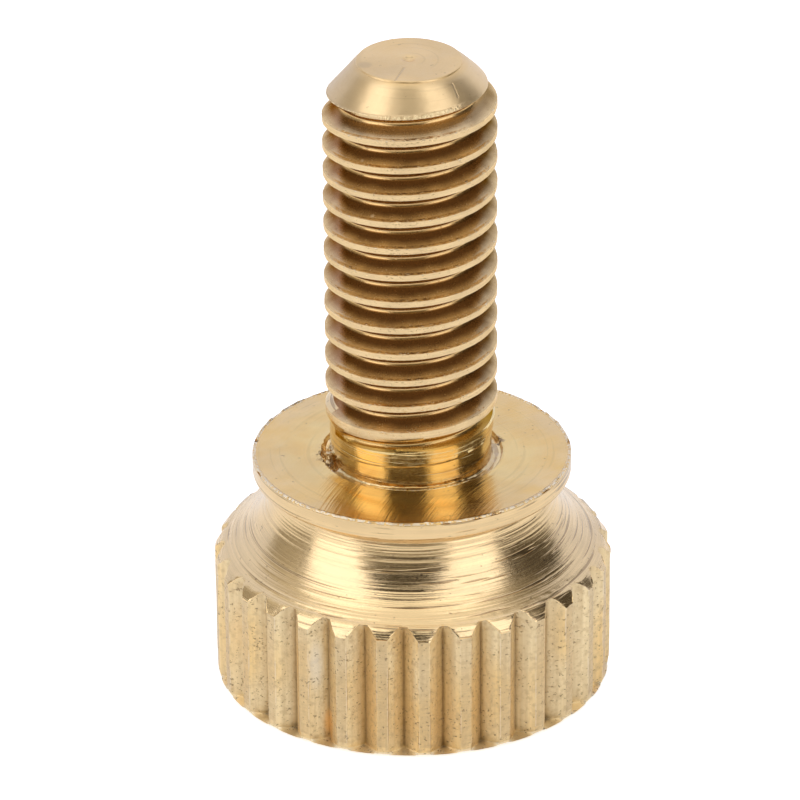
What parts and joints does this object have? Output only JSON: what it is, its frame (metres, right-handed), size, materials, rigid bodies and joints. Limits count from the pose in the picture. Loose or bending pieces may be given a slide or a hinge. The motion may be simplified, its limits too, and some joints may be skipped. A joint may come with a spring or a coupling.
{
  "type": "thumb screw",
  "caption": "Turned brass thumb screw with a straight-knurled head, a coved waist, a thin bearing flange and a metric threaded shank.",
  "frame": {"origin": "centre of the head's flat end, on which the screw stands", "axes": "+Z along the screw's axis, from the head's flat end towards the tip"},
  "size_m": [0.014, 0.014, 0.0234],
  "materials": {
    "brass": "bare turned brass, satin, with fine lathe marks and a matte straight knurl"
  },
  "bodies": {
    "root": {"thumb_screw": "brass"}
  },
  "joints": []
}
